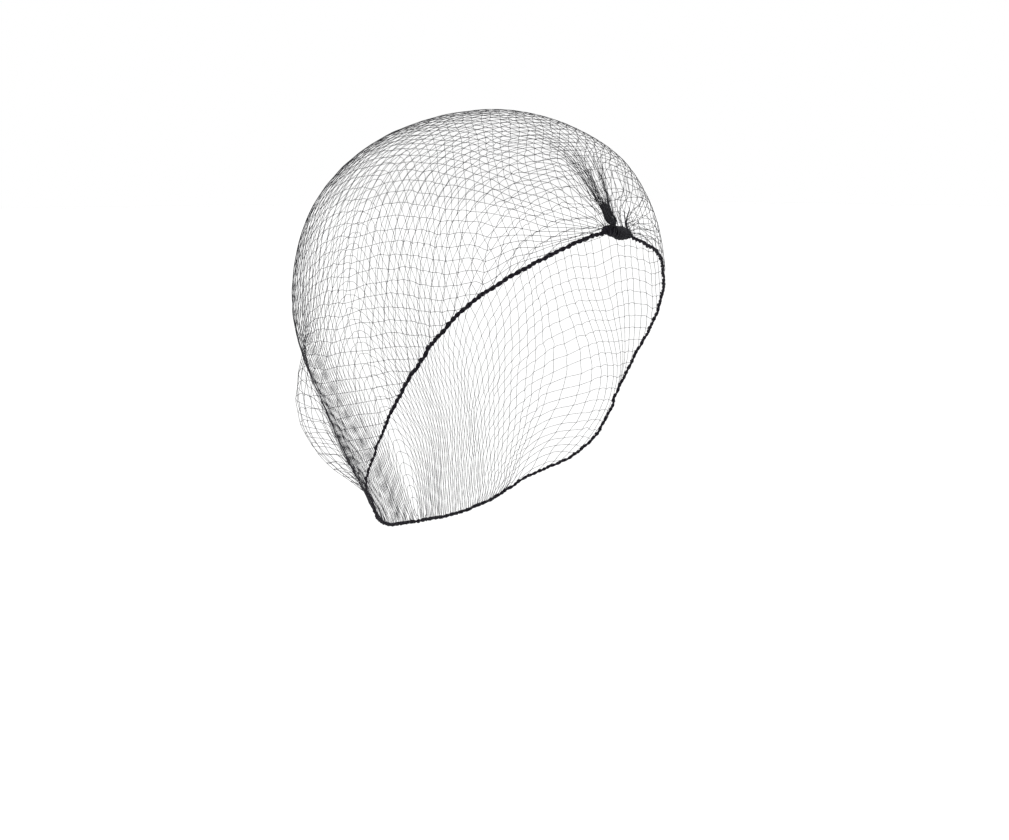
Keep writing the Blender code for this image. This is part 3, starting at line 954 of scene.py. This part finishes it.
def mix(tree, share, first, first_out, second, second_out):
    """A node that mixes two nodes' values, with the given share of the second."""
    node = shader_node(tree, "Mix")
    node.data_type = "FLOAT"
    node.inputs[0].default_value = share
    link(tree, first, first_out, node, 2)
    link(tree, second, second_out, node, 3)
    return node


def ramp(tree, *stops):
    """A colour ramp node between two stops, each a position and a colour."""
    node = shader_node(tree, "ValToRGB")
    for element, (position, colour) in zip(node.color_ramp.elements, stops):
        element.position = position
        element.color = (*colour, 1.0)
    return node


YARN_BANDS = 0.31  # wave texture scale: a band for every two pitches


def yarn_relief(tree, pitch, strands):
    """The strands' turn along a thread: one set of bands, or two that cross as in a braid."""
    uv = shader_node(tree, "UVMap")
    uv.uv_map = "UVMap"
    waves = []
    for way in strands:
        scale = shader_node(tree, "Mapping", Scale=(1 / pitch, way, 1.0))
        link(tree, uv, "UV", scale, "Vector")
        wave = shader_node(tree, "TexWave", Scale=YARN_BANDS, Distortion=0.6, Detail=1.0)
        wave.wave_type = "BANDS"
        wave.bands_direction = "DIAGONAL"
        link(tree, scale, "Vector", wave, "Vector")
        waves.append(wave)
    if len(waves) == 1:
        return waves[0], "Fac"
    braid = shader_node(tree, "Math")
    braid.operation = "MAXIMUM"
    for socket, wave in enumerate(waves):
        link(tree, wave, "Fac", braid, socket)
    return braid, "Value"


def fibre_material(name, dark, light, rough, pitch, strands, depth, sheen):
    """Black yarn: twisted strands along the thread, uneven dye with painted shade in the grooves
    between the strands, and a soft nap.
    """
    material = bpy.data.materials.new(name)
    material.use_nodes = True
    tree = material.node_tree
    tree.nodes.clear()
    output = shader_node(tree, "OutputMaterial")
    shader = shader_node(tree, "BsdfPrincipled", Sheen_Weight=sheen, Sheen_Roughness=0.5,
                         Specular_IOR_Level=0.12)
    link(tree, shader, "BSDF", output, "Surface")
    relief = yarn_relief(tree, pitch, strands)

    place = shader_node(tree, "TexCoord")
    dye = shader_node(tree, "TexNoise", Scale=55.0, Detail=4.0)
    fuzz = shader_node(tree, "TexNoise", Scale=4200.0, Detail=2.0)
    for noise in (dye, fuzz):
        link(tree, place, "Object", noise, "Vector")

    # Base colour: uneven dye noise, with 0.45 of it following the strands' relief as painted shade,
    # darker in the grooves between the strands
    dye_and_groove_shade = mix(tree, 0.45, dye, "Fac", *relief)
    colours = ramp(tree, (0.28, dark), (0.82, light))
    link(tree, dye_and_groove_shade, 0, colours, "Fac")
    link(tree, colours, "Color", shader, "Base Color")

    gloss = shader_node(tree, "MapRange", From_Min=0.3, From_Max=0.7,
                        To_Min=rough - 0.1, To_Max=rough + 0.12)
    link(tree, fuzz, "Fac", gloss, "Value")
    link(tree, gloss, "Result", shader, "Roughness")

    rise = mix(tree, 0.25, *relief, fuzz, "Fac")
    bump = shader_node(tree, "Bump", Strength=0.8, Distance=depth)
    link(tree, rise, 0, bump, "Height")
    link(tree, bump, "Normal", shader, "Normal")
    return material


net_black = fibre_material("net_thread_black", (0.008, 0.008, 0.010), (0.030, 0.030, 0.035), 0.52,
                           0.55 * MM, (1.0,), 0.02 * MM, 0.03)
cord_black = fibre_material("elastic_black", (0.002, 0.0015, 0.003), (0.010, 0.008, 0.014), 0.72,
                            0.95 * MM, (2.0, -2.0), 0.06 * MM, 0.02)
NET, CORD = (net_black, "black_net"), (cord_black, "black_elastic")  # material and slot

# ---- the pieces

STRAIGHT = 0.12 * MM  # a thread that leaves its straight line by less needs three points only
thread_parts = [tube(paths) for paths in (*loose_paths, edge_paths)]
for paths in tight_paths:
    off_line = np.linalg.norm(paths[:, 1] - paths[:, 0] * 2 / 3 - paths[:, -1] / 3, axis=1)
    bowed, straight = paths[off_line > STRAIGHT], paths[off_line <= STRAIGHT]
    halfway = (straight[:, 1:2] + straight[:, 2:3]) / 2
    straight = np.concatenate([straight[:, :1], halfway, straight[:, -1:]], axis=1)
    thread_parts += [tube(bowed), tube(straight)]
thread_parts.append(tube(tied_paths))
net_threads = mesh_piece("net_threads", thread_parts, *NET)
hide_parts("net_crown")

# Each crossing is a small tight knot, a trefoil with its own turn
KNOT_TURN = np.linspace(0, 2 * math.pi, 14, endpoint=False)
trefoil = np.stack([
    np.sin(KNOT_TURN) + 2 * np.sin(2 * KNOT_TURN),
    np.cos(KNOT_TURN) - 2 * np.cos(2 * KNOT_TURN),
    -1.6 * np.sin(3 * KNOT_TURN),
], axis=-1) / 3
NET_KNOT_RADIUS = 0.24 * MM
KNOT_STRAND = 0.085 * MM
crossings = lattice[on_net]
crossing_normals = normals[on_net]
crossing_along = squared(np.gradient(lattice, axis=0)[on_net], crossing_normals)
crossing_across = np.cross(crossing_normals, crossing_along)
spin = rng.uniform(0, 2 * math.pi, len(crossings))
east = turned(spin, crossing_along, crossing_across)
north = turned(spin, crossing_across, -crossing_along)
size = (NET_KNOT_RADIUS - KNOT_STRAND) * rng.uniform(0.88, 1.16, len(crossings))
shape = trefoil[None, :, :] * size[:, None, None]
axes = (east, north, crossing_normals)
knot_paths = crossings[:, None] + sum(shape[..., k:k + 1] * axes[k][:, None] for k in range(3))
front_to_back = np.argsort(crossings[:, 1], kind="stable")
KNOT_PIECES = 3
for number, chosen in enumerate(np.array_split(front_to_back, KNOT_PIECES)):
    part = tube(knot_paths[chosen], KNOT_STRAND, 4, about=crossings[chosen][:, None], closed=True)
    mesh_piece(f"net_knots_{number + 1}", [part], *NET)

LOOP_RADIUS = 0.12 * MM
loop_parts = [tube(loop_paths, LOOP_RADIUS, about=edge_centres[:, None])]
edge_loops = mesh_piece("net_edge_loops", loop_parts, *NET)
neck_parts = [tube(path, radii) for path, radii in zip(neck_paths, fold_radii)]
neck_threads = mesh_piece("gathered_folds", neck_parts, *NET)

PLY_SIDES = 10
YARN_PITCH = 2.3 * MM  # the yarns' own turn in each ply
YARNS = 3
YARN_RELIEF = 0.08  # of the ply's radius
yarn_phase = YARNS * np.arange(PLY_SIDES) * 2 * math.pi / PLY_SIDES
plies = []
for side in (0.0, math.pi):
    turn = cord_turn + side
    lay = (PLY_LAY * cord_scale)[:, None]
    ply_line = cord_line + lay * turned(turn, cord_out, cord_up)
    points, faces, uvs = tube(ply_line, PLY_RADIUS * cord_scale, PLY_SIDES, closed=True)
    ring = points.reshape(CORD_STEPS, PLY_SIDES, 3)
    yarn = 2 * math.pi * cord_lengths[:, None] / YARN_PITCH - yarn_phase
    ring = ply_line[:, None] + (ring - ply_line[:, None]) * (1 + YARN_RELIEF * np.cos(yarn))[..., None]
    plies.append((ring.reshape(-1, 3), faces, uvs))
elastic_cord = mesh_piece("elastic_cord", plies, *CORD)
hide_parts("elastic_band")

STRAND_SIDES, TAIL_SIDES, WRAP_SIDES = 12, 10, 6
knot_parts = [cap_end(path, np.full(len(path), radius), STRAND_SIDES) for path, radius in strand_paths]
knot_parts += [cap_end(path, radii, TAIL_SIDES) for path, radii in tails]
tied_knot = mesh_piece("tied_knot", knot_parts, *CORD)
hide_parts("band_knot")
wrap_parts = [tube(path, WRAP_RADIUS, WRAP_SIDES, about=knot_core.mean(0)) for path in wrap_paths]
mesh_piece("knot_wraps", wrap_parts, *NET)

# ---- floor, light and camera

FLOOR_GAP = 0.09  # below the cap, which is held up in its worn place
bpy.ops.mesh.primitive_grid_add(x_subdivisions=8, y_subdivisions=8, size=24.0)
floor = bpy.context.object
floor.name = "floor"
floor.location = (0.0, 0.0, cad_box[0][2] - FLOOR_GAP)
paint = bpy.data.materials.new("floor_paint")
paint.use_nodes = True
coat = paint.node_tree
paper = coat.nodes["Principled BSDF"]
paper.inputs["Roughness"].default_value = 0.9
paper.inputs["Specular IOR Level"].default_value = 0.0
grain = shader_node(coat, "TexNoise", Scale=3.0)
tint = ramp(coat, (0.0, (0.69, 0.69, 0.69)), (1.0, (0.71, 0.71, 0.71)))
link(coat, grain, "Fac", tint, "Fac")
link(coat, tint, "Color", paper, "Base Color")
floor.data.materials.append(paint)

# A white studio: even all round, with one big soft box overhead
BOX_EDGE = (0.62, 0.82)  # the sky's height where the soft box starts, and where it is full
BOX_BRIGHTNESS = 2.2  # against 1 all round
world = bpy.data.worlds.new("studio")
world.use_nodes = True
sky = world.node_tree
around = shader_node(sky, "TexCoord")
upward = shader_node(sky, "SeparateXYZ")
link(sky, around, "Generated", upward, "Vector")
soft_box = shader_node(sky, "MapRange", From_Min=BOX_EDGE[0], From_Max=BOX_EDGE[1],
                       To_Min=1.0, To_Max=BOX_BRIGHTNESS)
soft_box.interpolation_type = "SMOOTHSTEP"
link(sky, upward, "Z", soft_box, "Value")
link(sky, soft_box, "Result", sky.nodes["Background"], "Strength")
sky.nodes["Background"].inputs["Color"].default_value = (1.0, 1.0, 1.0, 1.0)
bpy.context.scene.world = world

lamp = bpy.data.lights.new("key", "AREA")
lamp.shape = "DISK"
lamp.size = 2.4
lamp.energy = 9.0
key = bpy.data.objects.new("key", lamp)
key.location = (-2.4, -2.6, 2.6)
key.rotation_euler = (Vector(MIDDLE) - key.location).to_track_quat("-Z", "Y").to_euler()
bpy.context.collection.objects.link(key)

CAMERA_TURN = 41.32  # degrees from facing the forehead, round to the wearer's right
CAMERA_DOWN = 7.99  # degrees below level
camera_data = bpy.data.cameras.new("camera")
camera_data.sensor_width = 36.0
camera_data.lens = 62.05
camera = bpy.data.objects.new("camera", camera_data)
camera.location = (-0.51796, -0.60645, -0.0284)
camera.rotation_euler = (math.radians(90 - CAMERA_DOWN), 0.0, math.radians(-CAMERA_TURN))
bpy.context.collection.objects.link(camera)
bpy.context.scene.camera = camera
bpy.context.scene.view_settings.view_transform = "Standard"
